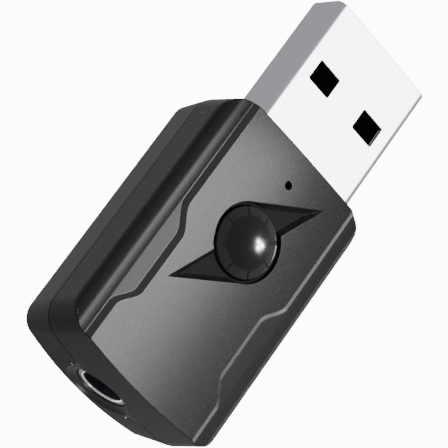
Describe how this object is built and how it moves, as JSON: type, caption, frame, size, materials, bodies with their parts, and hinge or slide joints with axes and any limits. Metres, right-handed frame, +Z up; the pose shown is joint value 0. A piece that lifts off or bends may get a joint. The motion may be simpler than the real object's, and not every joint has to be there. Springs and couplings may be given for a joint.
{
  "type": "bluetooth audio receiver",
  "caption": "Gunmetal USB stick audio receiver with a raised top, domed push button in a blade-shaped recess, USB-A plug at one end and a headphone jack at the other.",
  "frame": {"origin": "middle of the bounding box's base, on the case's flat underside", "axes": "+X from the headphone jack towards the USB plug's tip, +Z up through the button, +Y to the left when looking along +X"},
  "size_m": [0.0375, 0.0176, 0.0097],
  "materials": {
    "case_cover": "fine-grained metallic gunmetal coat, satin",
    "case_base": "metallic gunmetal coat, satin",
    "recess_floor": "smooth dark plastic",
    "button": "polished black",
    "black_resin": "moulded epoxy",
    "plated_steel": "tin plated",
    "plug_shell": "nickel plated, smooth",
    "gold_contact": "gold plated",
    "plug_insulator": "moulded black nylon",
    "solder_mask": "green solder mask",
    "ceramic": "fired ceramic",
    "ferrite": "pressed ferrite",
    "led_lens": "clear resin",
    "tantalum": "moulded resin",
    "tan_ceramic": "fired ceramic",
    "dark_lens": "smoked clear plastic",
    "chrome_ring": "polished nickel"
  },
  "bodies": {
    "housing": {"upper_cover": "case_cover", "lower_case": "case_base", "button_bezel": "recess_floor", "switch_base": "black_resin", "switch_frame": "plated_steel", "switch_snap_dome": "plated_steel", "usb_shell": "plug_shell", "usb_contact_power": "gold_contact", "usb_contact_data_minus": "gold_contact", "usb_contact_data_plus": "gold_contact", "usb_contact_ground": "gold_contact", "usb_tongue": "plug_insulator", "circuit_board": "solder_mask", "bluetooth_chip": "black_resin", "crystal_oscillator": "plated_steel", "memory_chip": "black_resin", "chip_antenna": "ceramic", "voltage_regulator": "black_resin", "power_inductor": "ferrite", "status_led": "led_lens", "audio_capacitors": "tantalum", "chip_capacitors": "tan_ceramic", "chip_resistors": "black_resin", "light_pipe": "dark_lens", "jack_sleeve_spring": "gold_contact", "jack_ring_spring": "gold_contact", "jack_tip_spring": "gold_contact", "jack_housing": "plug_insulator", "jack_ring": "chrome_ring"},
    "button": {"button_cap": "button", "switch_plunger": "black_resin"}
  },
  "joints": [
    {"name": "button_press", "type": "slide", "parent": "housing", "child": "button", "axis": [0, 0, -1], "range_m": [0, 0.00025], "stiffness_N_per_m": 6400, "deforming": ["switch_snap_dome"]}
  ]
}
